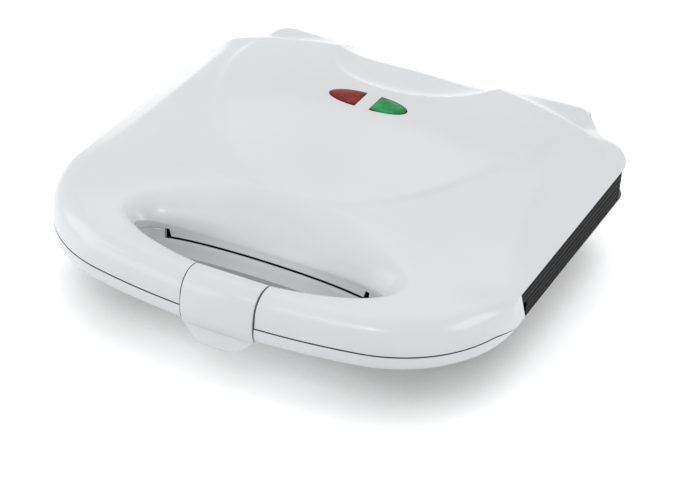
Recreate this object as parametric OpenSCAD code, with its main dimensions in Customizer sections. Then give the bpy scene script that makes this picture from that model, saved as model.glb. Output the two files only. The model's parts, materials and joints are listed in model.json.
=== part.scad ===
// Sandwich toaster with a hinged lid, a loop handle and a latch clip.
// X is the width, Y runs from the handle (front) to the hinge (back), Z is up.
// The origin is on the table, under the middle of the toaster.

/* [Body] */
// Width across the side rims of the two covers
body_w = 221; // [215:1:227]
// Distance from the origin to the front of the handle, at the seam
front_reach = 114.5; // [112:0.5:116]
// Distance from the origin to the back of the hinge blocks
back_reach = 114.9; // [114.5:0.1:117]
// Height of the handle seam over the table
seam_z = 38; // [36:1:40]
// Height of the lid's crown over the seam
crown_h = 37.8; // [36:0.2:40]
// Wall thickness of the moulded covers
wall = 2.5; // [2.2:0.1:2.8]

/* [Plan outline] */
// Radius of the bowed handle front, seen from above
front_r = 298; // [280:1:330]
// Radius of the two front corners
corner_r = 60; // [55:1:62]
// Radius of the two back corners
back_corner_r = 14; // [12:1:16]

/* [Handle] */
// Height of the upper handle half over the seam
grip_h = 14.4; // [13:0.2:16]
// Rounding radius along the handle's upper edge
grip_round = 9; // [8:0.5:10]
// Depth of the lower handle half under the seam
grip_under = 7.8; // [7:0.2:9]
// Length of the finger opening
finger_w = 120; // [110:1:124]
// Width of the finger opening, front to back
finger_d = 34; // [30:1:35]

/* [Latch] */
// Width of the latch clip
latch_w = 34.4; // [30:0.2:38]
// Gap between the latch clip and the handle on each side
latch_gap = 0.4; // [0.3:0.1:0.6]
// Diameter of the latch pin
latch_pin_d = 3; // [2.5:0.5:3]

/* [Hinge] */
// Diameter of the two hinge pins
hinge_pin_d = 4; // [3:0.5:4]
// Radius of the hinge ears on the bottom cover
ear_r = 7.5; // [7:0.5:7.5]

/* [Cooking plates] */
// Width of a cooking plate
plate_w = 208; // [204:1:209]
// Depth of a cooking plate, front to back
plate_d = 130; // [126:1:131]
// Depth of the triangular sandwich pockets
pocket_h = 11; // [9:0.5:11]
// Thickness of the cast plates
plate_t = 2; // [1.6:0.2:2]
// Diameter of the tubular heating elements
element_d = 6.5; // [6:0.5:6.5]

/* [Hidden] */
$fn = 48;

// Plan stations, measured back from the front of the handle
half_w = body_w / 2;
front_y = -front_reach;
corner_x = half_w - corner_r;
corner_y = front_y + front_r - sqrt(pow(front_r - corner_r, 2) - pow(corner_x, 2));
side_end_y = front_y + 193;
slant_a = 30;
block_out = 81;
block_in = 49;
back_wall_y = front_y + 222;
heart = [0, front_y + 118];

// Levels, all over the table
strip_low_z = seam_z - 5;
split_z = seam_z + 3;
strip_top_z = seam_z + 11;
floor_z = seam_z - 34;
back_rim_low_z = seam_z - 0.5;
back_rim_top_z = seam_z + 8;
seam_gap = 0.4;

// Hinge and latch axes
hinge_y = front_y + 219;
hinge_z = seam_z + 5;
latch_y = front_y + 11;
latch_z = seam_z + 10;
sweep_r = 15.6;
catch_r = 18.2;

// Finger opening
finger_y = front_y + 32;
finger_bow = 0.0012;
brow_y = front_y + 41;
brow_a = finger_w / 2 + 10;
brow_b = 31;

// ---- Plain helpers ----

function clamp01(t) = min(1, max(0, t));
function ease(t) = clamp01(t) * clamp01(t) * (3 - 2 * clamp01(t));
function mix(a, b, t) = a + (b - a) * t;
// A ramp that starts smoothly: 0 below -w, t above w
function soft_ramp(t, w) = t <= -w ? 0 : t >= w ? t : (t + w) * (t + w) / (4 * w);
function arc(c, r, a0, a1, n) =
    [for (i = [0:n]) let (a = mix(a0, a1, i / n)) [c[0] + r * cos(a), c[1] + r * sin(a)]];
function tail(list) = [for (i = [1:len(list) - 1]) list[i]];
function flipped(half) =
    [for (i = [len(half) - 2:-1:1]) [-half[i][0], half[i][1]]];
function ring_of(half) = concat(half, flipped(half));
function line_to(a, b, n) = [for (i = [1:n]) [mix(a[0], b[0], i / n), mix(a[1], b[1], i / n)]];

// ---- Plan outline of the covers, from the front centre round the right side to the back ----

front_a = asin(corner_x / (front_r - corner_r));
slant_from = [half_w - back_corner_r + back_corner_r * cos(90 - slant_a),
              side_end_y + back_corner_r * sin(90 - slant_a)];
slant_to = [block_out, slant_from[1] + (slant_from[0] - block_out) * tan(slant_a)];

front_half = concat(
    arc([0, front_y + front_r], front_r, -90, -90 + front_a, 6),
    tail(arc([corner_x, corner_y], corner_r, -90 + front_a, 0, 8)),
    line_to([half_w, corner_y], [half_w, side_end_y], 8),
    tail(arc([half_w - back_corner_r, side_end_y], back_corner_r, 0, 90 - slant_a, 3)),
    line_to(slant_from, slant_to, 2));

lid_outline = ring_of(concat(front_half,
    line_to(slant_to, [block_out, back_reach], 2),
    line_to([block_out, back_reach], [block_in, back_reach], 4),
    line_to([block_in, back_reach], [block_in - 3.8, back_wall_y], 1),
    line_to([block_in - 3.8, back_wall_y], [0, back_wall_y], 5)));

base_outline = ring_of(concat(front_half,
    line_to(slant_to, [block_in - 3.8, back_wall_y], 3),
    line_to([block_in - 3.8, back_wall_y], [0, back_wall_y], 4)));

// ---- Shape of the lid's outer skin ----

function station(y) = y - front_y;
// Height of the middle line: a long rise from the grip to the crown, then a slow fall
function spine(s) = grip_h + (crown_h - grip_h) * ease((s - 12) / 128) - 0.0017 * pow(max(0, s - 145), 2);
// The top breaks along a bowed line into a steeper slope down to the hinge blocks
function back_slope(x, s) = 0.245 * soft_ramp(s - 201 + 0.0012 * x * x, 2) * (1 - ease((abs(x) - 96) / 14));
// Half width of the raised centre panel, and of the flanks' upper crease
function panel_x(s) = 80 * sqrt(max(0.01, 1 - pow(max(0, 190 - s) / 120, 2)));
function flank_x(s) = half_w - 6 - 15 * max(0, 1 - pow((s - 140) / 75, 2));
function side_drop(x, s) = 0.0008 * x * x + 0.07 * soft_ramp(abs(x) - panel_x(s), 5)
    + 0.45 * soft_ramp(abs(x) - flank_x(s), 3);
function rim_h(s) = mix(grip_h, strip_top_z - seam_z + 0.3, ease((s - 35) / 35));
// Step down at the panel's edge, and the share of the hinge blocks' own, almost level top
function panel_step(x, s) = 1.2 * ease((abs(x) - panel_x(s)) / 5)
    * ease((s - 68) / 35) * (1 - ease((s - 176) / 17));
function block_level(x, s) = ease((s - 204) / 16) * (1 - ease((abs(x) - 82) / 10));
function dome(x, s) = let (side = side_drop(x, s) / side_drop(half_w, s))
    spine(s) - back_slope(x, s) - panel_step(x, s) * (1 - side * side)
    - mix((spine(s) - rim_h(s)) * side, 0.06 * max(0, block_out - abs(x)), block_level(x, s));
// Share of the full edge rounding: whole on the grip, none over the side strips, slight at the back
function edge_share(s) = mix(1.04, 0, ease((s - 35) / 33)) + 0.18 * ease((s - 193) / 20);
function edge_drop(d) = grip_round * (1 - sqrt(1 - pow(1 - min(d / grip_round, 1), 2)));
// The hollow between the hinge blocks: a rounded step down and a nearly level floor
function scoop(x, s) = let (r = pow(pow(abs(x) / 44, 2.3) + pow(max(0, 222 - s) / 64, 2.3), 1 / 2.3))
    r < 1 ? 5.4 * (1 - pow(r, 5)) : 0;
// Position across the brow: 0 just inside the finger opening's edge, 1 where the brow meets the lid
function finger_r(x, y) = sqrt(pow(x / (finger_w / 2), 2)
    + pow((y - finger_y - finger_bow * x * x) / (finger_d / 2), 2));
function brow_r(x, y) = sqrt(pow(x / brow_a, 2) + pow((y - brow_y) / brow_b, 2));
function brow_t(x, y) = let (a = max(0, finger_r(x, y) - 0.93), b = max(0, 1 - brow_r(x, y)))
    brow_r(x, y) >= 1 ? 1 : a / max(0.001, a + b * 1.6);
function brow_rise(t) = mix(sin(90 * t), sqrt(1 - (1 - t) * (1 - t)), 0.75);
function brow_foot(s) = mix(9.5, -1.5, ease((s - 18) / 22));
function skin(x, y, d) = let (s = station(y), t = brow_t(x, y),
        full = dome(x, s) - edge_share(s) * edge_drop(d) - scoop(x, s))
    seam_z + mix(brow_foot(s), full, brow_rise(t));

// ---- Lofts: closed skins from rings with the same number of points ----

function toward(p, c, f) = [mix(p[0], c[0], f), mix(p[1], c[1], f)];
function ring_faces(n, a, b) = [for (i = [0:n - 1]) let (j = (i + 1) % n)
    each [[a + i, a + j, b + j], [a + i, b + j, b + i]]];
// The same band with its diagonals turned, so that the inner skin follows the outer one
function turned_faces(n, a, b) = [for (i = [0:n - 1]) let (j = (i + 1) % n)
    each [[a + i, a + j, b + i], [a + j, b + j, b + i]]];

// rings run from the crown inside, down the inner skin, round the rim and up the outer skin
module shell_loft(inner_top, rings, outer_top, inside) {
    n = len(rings[0]);
    k = len(rings);
    points = concat([inner_top], [for (r = rings) each r], [outer_top]);
    faces = concat(
        [for (i = [0:n - 1]) [0, 1 + (i + 1) % n, 1 + i]],
        [for (j = [0:k - 2]) each (j < inside ? turned_faces(n, 1 + j * n, 1 + (j + 1) * n)
            : ring_faces(n, 1 + j * n, 1 + (j + 1) * n))],
        [for (i = [0:n - 1]) [1 + (k - 1) * n + i, 1 + (k - 1) * n + (i + 1) % n, 1 + k * n]]);
    polyhedron(points, [for (f = faces) [f[2], f[1], f[0]]]);
}

// A wall between two closed curves, whose points carry its top heights, down to a bottom level
module curtain(outer, inner, low) {
    n = len(outer);
    points = concat([for (p = inner) [p[0], p[1], low]], inner, outer, [for (p = outer) [p[0], p[1], low]]);
    faces = concat(ring_faces(n, 0, n), ring_faces(n, n, 2 * n),
                   ring_faces(n, 2 * n, 3 * n), ring_faces(n, 3 * n, 0));
    polyhedron(points, faces);
}

// A round wire or tube along points, each ring square to the run
module tube_run(path, d, sides) {
    k = len(path);
    function dir(i) = let (a = path[max(0, i - 1)], b = path[min(k - 1, i + 1)], v = b - a) v / norm(v);
    function side_of(t) = let (up = abs(t[2]) > 0.9 ? [1, 0, 0] : [0, 0, 1], w = cross(t, up)) w / norm(w);
    rings = [for (i = [0:k - 1]) let (t = dir(i), u = side_of(t), w = cross(t, u))
        [for (j = [0:sides - 1]) path[i] + d / 2 * (cos(360 * j / sides) * u + sin(360 * j / sides) * w)]];
    points = concat([for (r = rings) each r]);
    faces = concat([[for (j = [sides - 1:-1:0]) j]],
        [for (i = [0:k - 2]) each ring_faces(sides, i * sides, (i + 1) * sides)],
        [[for (j = [0:sides - 1]) (k - 1) * sides + j]]);
    polyhedron(points, [for (f = faces) [for (q = [len(f) - 1:-1:0]) f[q]]]);
}

// Extrudes a (y, z) profile along X, centred on the middle plane
module along_x(profile, w) {
    rotate([90, 0, 90])
        translate([0, 0, -w / 2])
            linear_extrude(w)
                polygon(profile);
}

module rod_x(x0, x1, y, z, r) {
    translate([x0, y, z])
        rotate([0, 90, 0])
            cylinder(h = x1 - x0, r = r);
}

module both_sides() {
    children();
    mirror([1, 0, 0])
        children();
}

// Finger opening in plan, grown by g
function finger_curve(g, n) = [for (i = [0:n - 1]) let (a = 360 * i / n, x = (finger_w / 2 + g) * cos(a))
    [x, finger_y + finger_bow * x * x + (finger_d / 2 + g) * sin(a)]];

module finger_hole(g, z0, z1) {
    translate([0, 0, z0])
        linear_extrude(z1 - z0)
            polygon(finger_curve(g, 56));
}

// ---- Top cover ----

lid_fractions = [0, 0.006, 0.02, 0.045, 0.08, 0.13, 0.2, 0.27, 0.33, 0.38, 0.42, 0.46, 0.5, 0.56, 0.64, 0.78];
lid_fractions_in = [0.78, 0.64, 0.56, 0.5, 0.46, 0.42, 0.38, 0.33, 0.27, 0.2, 0.13, 0.08, 0.045];
lid_inset = 0.0215;

function lid_hem(p) = let (s = station(p[1]))
    s > 203 ? back_rim_top_z : mix(seam_z, strip_low_z, ease((s - 45) / 25));
function lid_ring(f) = [for (p = lid_outline) let (q = toward(p, heart, f))
    [q[0], q[1], skin(q[0], q[1], f * 118)]];
function lid_ring_in(f) = [for (p = lid_outline) let (q = toward(p, heart, f))
    [q[0], q[1], skin(q[0], q[1], f * 118 - wall) - wall]];
function lid_edge_in() = [for (p = lid_outline) let (q = toward(p, heart, lid_inset))
    [q[0], q[1], lid_hem(p)]];
function lid_edge_out() = [for (p = lid_outline) [p[0], p[1], lid_hem(p)]];

module lid_shell() {
    shell_loft([heart[0], heart[1], skin(heart[0], heart[1], 99) - wall],
        concat([for (f = lid_fractions_in) lid_ring_in(f)],
               [[for (p = lid_outline) let (q = toward(p, heart, lid_inset), e = skin(q[0], q[1], 0.4) - wall)
                   [q[0], q[1], max(e, lid_hem(p) + 0.5)]]],
               [lid_edge_in()], [lid_edge_out()],
               [for (f = lid_fractions) lid_ring(f)]),
        [heart[0], heart[1], skin(heart[0], heart[1], 99)], len(lid_fractions_in));
}

// The finger opening's curve grown by g, a little under the skin
function lid_wall_top(g, under) =
    [for (p = finger_curve(g, 56)) [p[0], p[1], skin(p[0], p[1], 12) - under]];
function base_wall_top(g) = [for (p = finger_curve(g, 56)) [p[0], p[1], seam_z - seam_gap]];

lens_half = [for (i = [0:12]) let (a = -90 + 180 * i / 12) [16 * cos(a), 7.1 * sin(a)]];
lens_x = 3.5;
lens_y = front_y + 142.7;

module lens_plan(g) {
    translate([lens_x - g, lens_y])
        polygon([for (p = lens_half) [p[0] * (1 + 2 * g / 16), p[1] * (1 + g / 7.1)]]);
}

// Profile of the handle's inside, used by the ribs beside the latch
rib_profile = [[1.6, 0.2], [1.6, 5], [2.6, 8.8], [4.6, 11.6], [8, 13], [13, 12.6], [14.6, 11], [14.6, 0.2]];
function placed(profile) = [for (p = profile) [front_y + p[0], seam_z + p[1]]];

screw_at = [[99.5, front_y + 69], [99.5, front_y + 188.5]];

module top_cover() {
    color("white")
        difference() {
            union() {
                difference() {
                    union() {
                        lid_shell();
                        curtain(lid_wall_top(2.4, 1.4), lid_wall_top(-0.4, 1), seam_z + 0.2);
                    }
                    finger_hole(0, seam_z - 8, seam_z + 40);
                    // Level foot of the opening's wall
                    finger_hole(3.2, seam_z - 8, seam_z + 0.2);
                    // The side notches that show the two frames
                    along_x([[front_y + 67.2, strip_top_z], [front_y + 76.2, strip_low_z - 1],
                             [front_y + 204.5, strip_low_z - 1], [front_y + 204.5, strip_top_z]], body_w + 10);
                    // The skirt is cut away where the bottom cover stands up beside it
                    both_sides()
                        translate([49.6, front_y + 34, seam_z - 1])
                            cube([16, 20, 6]);
                    // The gap in the handle that the latch fills
                    translate([-latch_w / 2 - latch_gap, front_y - 5, seam_z - 1])
                        cube([latch_w + 2 * latch_gap, 21.2, 20]);
                }
                // Web and ribs that carry the latch pin
                along_x(placed([[4.5, 0.2], [4.5, 3.6], [14.8, 3.6], [14.8, 0.2]]), latch_w + 4);
                both_sides()
                    translate([latch_w / 2 + latch_gap + 1, 0, 0])
                        along_x(placed(rib_profile), 2);
                // Cheeks of the hinge blocks
                both_sides() {
                    for (x = [block_in + 3, block_out - 3])
                        translate([x, 0, 0])
                            hinge_cheek();
                }
                // Screw bosses over the frame's corners
                both_sides()
                    for (p = screw_at)
                        translate([p[0], p[1], strip_top_z])
                            cylinder(h = skin(p[0], p[1], 20) - strip_top_z - 1.2, r = 4);
            }
            both_sides() {
                rod_x(block_in - 0.1 + 1.5, block_out - 1.5, hinge_y, hinge_z, hinge_pin_d / 2);
                for (p = screw_at)
                    translate([p[0], p[1], strip_top_z - 1])
                        cylinder(h = skin(p[0], p[1], 20) - strip_top_z - 0.6, r = 1.5);
                translate([0, 0, seam_z + 30])
                    linear_extrude(12)
                        lens_plan(0.2);
            }
            rod_x(-latch_w / 2 - 2.2, latch_w / 2 + 2.2, latch_y, latch_z, latch_pin_d / 2);
        }
}

module hinge_cheek() {
    rod_x(-3, 3, hinge_y, hinge_z, 8);
    along_x([[hinge_y - 14, hinge_z + 3], [hinge_y - 14, hinge_z + 12], [hinge_y - 2, hinge_z + 16.5],
             [hinge_y + 6.5, hinge_z + 11.8], [hinge_y + 8, hinge_z + 6], [hinge_y + 8, hinge_z + 0.5],
             [hinge_y - 7.5, hinge_z]], 6);
}

// ---- Bottom cover ----

base_fractions = [0.004, 0.011, 0.026, 0.06, 0.1, 0.14, 0.18, 0.24, 0.34, 0.42, 0.47, 0.52, 0.57, 0.63];
base_fractions_in = [0.63, 0.57, 0.52, 0.47, 0.42, 0.3, 0.18, 0.14, 0.1, 0.06, 0.036];

function box_inset(x, y, hx, y0, y1, r) = let (cy = (y0 + y1) / 2, qx = abs(x) - (hx - r),
        qy = abs(y - cy) - ((y1 - y0) / 2 - r))
    r - (min(max(qx, qy), 0) + norm([max(qx, 0), max(qy, 0)]));
// The bowl falls at a steady slope and rounds into the flat floor
bowl_h = seam_z - 5 - floor_z;
bowl_run = 20;
function bowl_depth(x, y) = let (d = box_inset(x, y, half_w, front_y + 51.5, back_wall_y, 30))
    bowl_h * (1 - soft_ramp(1 - d / bowl_run, 0.14));
function under_grip(s, d) = mix(grip_under * sqrt(1 - pow(1 - min(1, (d + 0.2) / 3), 2)),
    min(grip_under, 5 + 1.3 * d), ease((s - 48) / 24));
function base_rim(p) = let (s = station(p[1]))
    s > 203 ? back_rim_low_z : mix(seam_z - seam_gap, strip_low_z, ease((s - 45) / 25));
function belly(x, y, d) = let (s = station(y))
    seam_z - max(under_grip(s, d), 5 * ease((s - 45) / 7) + bowl_depth(x, y));

module base_shell() {
    rings = concat(
        [for (f = base_fractions_in) [for (p = base_outline) let (q = toward(p, heart, f))
            [q[0], q[1], min(belly(q[0], q[1], f * 118) + wall, base_rim(p) - 0.5)]]],
        [[for (p = base_outline) let (q = toward(p, heart, lid_inset))
            [q[0], q[1], base_rim(p)]]],
        [[for (p = base_outline) [p[0], p[1], base_rim(p)]]],
        [for (f = base_fractions) [for (p = base_outline) let (q = toward(p, heart, f))
            [q[0], q[1], min(belly(q[0], q[1], f * 118), base_rim(p) - min(1, 150 * f))]]]);
    mirror([0, 0, 1])
        shell_loft([heart[0], heart[1], -(floor_z + wall)],
            [for (r = rings) [for (v = r) [v[0], v[1], -v[2]]]],
            [heart[0], heart[1], -floor_z], len(base_fractions_in));
}

foot_at = [[68, front_y + 84], [68, front_y + 192]];
inlet_z = 19.5;

module bottom_cover() {
    color("white")
        difference() {
            union() {
                difference() {
                    union() {
                        base_shell();
                        curtain(base_wall_top(2.4), base_wall_top(-0.4), seam_z - grip_under + 0.6);
                    }
                    finger_hole(0, floor_z - 5, seam_z + 10);
                    translate([-latch_w / 2 - latch_gap, front_y - 5, seam_z - 12])
                        cube([latch_w + 2 * latch_gap, 21.2, 12.1]);
                    // Room for the lid's hinge blocks to swing down
                    both_sides()
                        rod_x(block_in - 4.8, block_out + 1.2, hinge_y, hinge_z, sweep_r);
                }
                // Upstands at both ends of the opening's back wall
                both_sides()
                    intersection() {
                        translate([50.2, front_y + 35, seam_z - 5])
                            cube([14, 20, 9.4]);
                        difference() {
                            finger_hole(2.4, seam_z - 6, seam_z + 5);
                            finger_hole(0, seam_z - 7, seam_z + 6);
                        }
                    }
                // The core under the latch, with a catch face struck about the latch pin
                difference() {
                    along_x(placed([[3.2, -0.4], [3.2, -12], [14.8, -12], [14.8, -0.4]]), latch_w + 4);
                    difference() {
                        rod_x(-30, 30, latch_y, latch_z, 40);
                        rod_x(-31, 31, latch_y, latch_z, catch_r);
                    }
                }
                // Wells behind the swinging hinge blocks, and the ears that carry the pins
                both_sides() {
                    intersection() {
                        difference() {
                            rod_x(block_in - 6.8, block_out + 3.2, hinge_y, hinge_z, sweep_r + 2);
                            rod_x(block_in - 4.8, block_out + 1.2, hinge_y, hinge_z, sweep_r);
                        }
                        translate([block_in - 7, hinge_y - 14, floor_z + 14])
                            cube([block_out - block_in + 11, 16.5, back_rim_low_z - floor_z - 14]);
                    }
                    hinge_ear();
                }
                // Screw posts under the frame's corners
                both_sides()
                    for (p = screw_at)
                        translate([p[0], p[1], belly(p[0], p[1], 12) + 0.6])
                            cylinder(h = strip_low_z - belly(p[0], p[1], 12) - 0.6, r = 4.4);
                // Pads over the rubber feet
                both_sides()
                    for (p = foot_at)
                        translate([p[0], p[1], floor_z])
                            cylinder(h = 5, r = 7.5);
                // Flat boss round the cord inlet
                translate([0, back_wall_y - 18, inlet_z])
                    rotate([-90, 0, 0])
                        cylinder(h = 15, r = 10);
            }
            both_sides() {
                rod_x(block_in + 4, block_out - 4, hinge_y, hinge_z, hinge_pin_d / 2 + 0.08);
                for (p = screw_at) {
                    translate([p[0], p[1], floor_z - 1])
                        cylinder(h = max(0.5, strip_low_z - 3 - floor_z + 1 - 1.6), r = 3.2);
                    translate([p[0], p[1], floor_z])
                        cylinder(h = 40, r = 1.7);
                }
                for (p = foot_at)
                    translate([p[0], p[1], floor_z - 1])
                        cylinder(h = 4.5, r = 2.4);
            }
            translate([0, back_wall_y - 20, inlet_z])
                rotate([-90, 0, 0])
                    cylinder(h = 20, r = 6);
        }
}

module hinge_ear() {
    rod_x(block_in + 6.4, block_out - 6.4, hinge_y, hinge_z, ear_r);
    translate([block_in + 6.4, hinge_y - 14, hinge_z - 17])
        cube([block_out - block_in - 12.8, 13, 14]);
    translate([block_in + 6.4, hinge_y - 7, hinge_z - 4])
        cube([block_out - block_in - 12.8, 6, 4]);
}

// ---- Frames ----

frame_in_x = 107.3;
frame_front = front_y + 58.5;
frame_back = front_y + 204.5;
plate_mid_y = front_y + 128;
plate_clip = 16;

frame_half = [[0, frame_front], [96, frame_front], [frame_in_x, frame_front + 11.3],
              [frame_in_x, frame_back - 12], [95, frame_back], [0, frame_back]];
function plate_half(g) = let (x = plate_w / 2 + g, y0 = plate_mid_y - plate_d / 2 - g,
        y1 = plate_mid_y + plate_d / 2 + g, c = plate_clip + g * 0.6)
    [[0, y0], [x - c, y0], [x, y0 + c], [x, y1 - c], [x - c, y1], [0, y1]];

// One frame: an outer wall with ribs, a ledge for the plate and the strip seen from the side
module frame_body(z0, z1, ledge_z0, ledge_z1, strip_front) {
    difference() {
        union() {
            translate([0, 0, z0])
                linear_extrude(z1 - z0)
                    polygon(ring_of(frame_half));
            both_sides()
                intersection() {
                    translate([frame_in_x - 2, front_y + 60, z0])
                        cube([half_w - 0.5 - frame_in_x + 2, 132.5, z1 - z0]);
                    along_x([[front_y + strip_front[0], z1 + 1], [front_y + strip_front[1], z0 - 1],
                             [front_y + 194, z0 - 1], [front_y + 194, z1 + 1]], body_w + 10);
                }
        }
        translate([0, 0, ledge_z0])
            linear_extrude(ledge_z1 - ledge_z0)
                polygon(ring_of(plate_half(0.4)));
        difference() {
            translate([0, 0, z0 - 1])
                linear_extrude(z1 - z0 + 2)
                    polygon(ring_of(plate_half(-3)));
            for (p = plate_screw_at)
                translate([p[0], p[1], z0 - 2])
                    cylinder(h = z1 - z0 + 4, r = 4);
        }
        for (p = plate_screw_at)
            translate([p[0], p[1], z0 - 2])
                cylinder(h = z1 - z0 + 4, r = 1.7);
        // Fine grooves along the visible strip
        for (z = [z0 + 2.6, z0 + 5.2])
            both_sides()
                translate([half_w - 1.1, front_y + 60, z])
                    cube([2, 140, 0.5]);
    }
}

frame_gap = 0.3;
// Where the front ends of the two side strips lie, at the frame's top and bottom
lower_strip_front = [76.8, 76.8];
upper_strip_front = [67.6, 72.8];

module lower_frame() {
    color("#1c1c1c")
        difference() {
            frame_body(strip_low_z, split_z - frame_gap, split_z - plate_t - frame_gap, split_z + 1,
                lower_strip_front);
            both_sides()
                for (p = screw_at)
                    translate([p[0], p[1], strip_low_z - 1])
                        cylinder(h = 7, r = 1.5);
        }
}

module upper_frame() {
    color("#1c1c1c")
        difference() {
            frame_body(split_z + frame_gap, strip_top_z, split_z - 1, split_z + plate_t + frame_gap,
                upper_strip_front);
            both_sides()
                for (p = screw_at) {
                    translate([p[0], p[1], split_z - 1])
                        cylinder(h = 3.4, r = 3.2);
                    translate([p[0], p[1], split_z])
                        cylinder(h = 12, r = 1.7);
                }
        }
}

// ---- Cooking plates ----

// Right-angled triangle with rounded corners, its long side facing the diagonal ridge
function unit(v) = v / norm(v);
function rounded_tri(a, b, c, r) = let (pts = [a, b, c]) [for (i = [0:2])
    let (p = pts[i], u = unit(pts[(i + 2) % 3] - p), v = unit(pts[(i + 1) % 3] - p),
         half = acos(u * v) / 2, centre = p + unit(u + v) * r / sin(half),
         start = p + u * r / tan(half) - centre, a0 = atan2(start[1], start[0]), turn = 180 - 2 * half)
    each [for (k = [0:4]) centre + r * [cos(a0 + turn * k / 4), sin(a0 + turn * k / 4)]]];

pocket_w = 94;
pocket_d = 114;
pocket_r = 13;
ridge = 3.2;

// One pocket, tapering down from the split face; g grows it all round
module pocket(flip, g, h) {
    a = flip ? [pocket_w - ridge, pocket_d] : [ridge, 0];
    b = flip ? [0, pocket_d] : [pocket_w, 0];
    c = flip ? [0, ridge * 1.3] : [pocket_w, pocket_d - ridge * 1.3];
    mid = (a + b + c) / 3;
    translate([3.5 + mid[0], plate_mid_y - pocket_d / 2 + mid[1], 0])
        linear_extrude(h, scale = 0.62)
            scale(1 + g / 28)
                polygon([for (p = rounded_tri(a, b, c, pocket_r)) p - mid]);
}

// Plate lying with its cooking face at z = 0 and its pockets going up
module plate_solid() {
    difference() {
        union() {
            linear_extrude(plate_t)
                polygon(ring_of(plate_half(0)));
            both_sides()
                for (flip = [false, true])
                    pocket(flip, plate_t, pocket_h + plate_t);
        }
        both_sides()
            for (flip = [false, true])
                translate([0, 0, -0.01])
                    pocket(flip, 0, pocket_h + 0.01);
        for (p = plate_screw_at)
            translate([p[0], p[1], -1]) {
                cylinder(h = 6, r = 1.8);
                cylinder(h = 1 + plate_head_sink, r = 3.2);
            }
    }
}

plate_screw_at = [[0, plate_mid_y - 61.5], [0, plate_mid_y + 61.5]];
plate_head_sink = 1.1;

module lower_plate() {
    color("#2a2a2c")
        translate([0, 0, split_z - frame_gap])
            mirror([0, 0, 1])
                plate_solid();
}

module upper_plate() {
    color("#2a2a2c")
        translate([0, 0, split_z + frame_gap])
            plate_solid();
}

module pan_screw(shank_r, shank_h, head_r, head_h) {
    difference() {
        union() {
            cylinder(h = shank_h, r = shank_r);
            translate([0, 0, -head_h])
                cylinder(h = head_h, r = head_r);
        }
        for (a = [0, 90])
            rotate([0, 0, a])
                translate([-head_r * 0.6, -0.4, -head_h - 1])
                    cube([head_r * 1.2, 0.8, 1 + head_h * 0.5]);
    }
}

// ---- Heating ----

loop_x = 58;
loop_front = front_y + 100;
loop_back = front_y + 176;
bend_r = 14;

// Tubular element: a loop with rounded corners, open at the back, lying at z = 0
module element_loop() {
    r = element_d / 2;
    rod_x(bend_r - loop_x, loop_x - bend_r, loop_front, 0, r);
    both_sides() {
        translate([loop_x, loop_front + bend_r, 0])
            rotate([-90, 0, 0])
                cylinder(h = loop_back - loop_front - 2 * bend_r, r = r);
        rod_x(12, loop_x - bend_r, loop_back, 0, r);
        for (c = [[loop_front + bend_r, -90], [loop_back - bend_r, 0]])
            translate([loop_x - bend_r, c[0], 0])
                rotate([0, 0, c[1]])
                    rotate_extrude(angle = 90)
                        translate([bend_r, 0])
                            circle(r = r);
        rod_x(5, 12, loop_back, 0, 1.2);
    }
}

clip_t = 1;
lower_element_z = split_z - frame_gap - pocket_h - plate_t - element_d / 2 - clip_t - 0.15;
upper_element_z = split_z + frame_gap + pocket_h + plate_t + element_d / 2 + clip_t + 0.15;

module lower_element() {
    color("#8a8580")
        translate([0, 0, lower_element_z])
            element_loop();
}

module upper_element() {
    color("#8a8580")
        translate([0, 0, upper_element_z])
            element_loop();
}

clip_at = [[-30, loop_front], [30, loop_front], [-32, loop_back], [32, loop_back]];

// Sheet-metal saddle clips that hold the element down on the reflector
module element_clips(dir) {
    r = element_d / 2;
    for (p = clip_at)
        translate([p[0], p[1], 0])
            difference() {
                union() {
                    rod_x(-4, 4, 0, 0, r + clip_t);
                    translate([-4, -r - 5, dir > 0 ? -r - clip_t : r + clip_t - 0.8])
                        cube([8, 2 * r + 10, 0.8]);
                }
                rod_x(-5, 5, 0, 0, r + 0.05);
            }
}

module lower_element_clips() {
    color("silver")
        translate([0, 0, lower_element_z])
            element_clips(1);
}

module upper_element_clips() {
    color("silver")
        translate([0, 0, upper_element_z])
            element_clips(-1);
}

// Reflector: a thin tray with a turned edge
module reflector_tray(hx, y0, y1) {
    difference() {
        translate([-hx, y0, 0])
            cube([2 * hx, y1 - y0, 0.8]);
        for (x = [-45, 0, 45])
            translate([x, (y0 + y1) / 2, -1])
                cylinder(h = 3, r = 4);
    }
}

module lower_reflector() {
    r = element_d / 2;
    color("gainsboro")
        translate([0, 0, lower_element_z - r - clip_t - 0.8]) {
            reflector_tray(72, loop_front - 12, loop_back + 5);
            for (x = [-72, 71.2])
                translate([x, loop_front - 12, 0])
                    cube([0.8, loop_back - loop_front + 17, 5]);
        }
}

module upper_reflector() {
    r = element_d / 2;
    color("gainsboro")
        translate([0, 0, upper_element_z + r + clip_t])
            reflector_tray(54, loop_front + 1, loop_back + 4);
}

// ---- Electrics ----

module thermostat() {
    color("tan")
        translate([0, plate_mid_y - 8, split_z + frame_gap + plate_t]) {
            translate([-3, -12, 0])
                cube([6, 24, 7]);
            translate([0, 0, 7])
                cylinder(h = 5, r = 6);
        }
}

module thermal_fuse() {
    color("ivory")
        translate([-14, plate_mid_y + 30, upper_element_z + 0.5])
            rotate([0, 90, 0])
                cylinder(h = 28, r = 2.2);
}

lamp_z = seam_z + 26.5;

module lamp_holder() {
    color("ivory")
        difference() {
            translate([-23, lens_y - 9, lamp_z + 1])
                cube([46, 18, lens_foot_z - 0.1 - lamp_z - 1]);
            both_sides()
                translate([2.5, lens_y - 7.5, lamp_z + 2.5])
                    cube([18, 15, 10]);
            both_sides()
                translate([11, lens_y, lamp_z - 1])
                    cylinder(h = 6, r = 2.6);
        }
}

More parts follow.
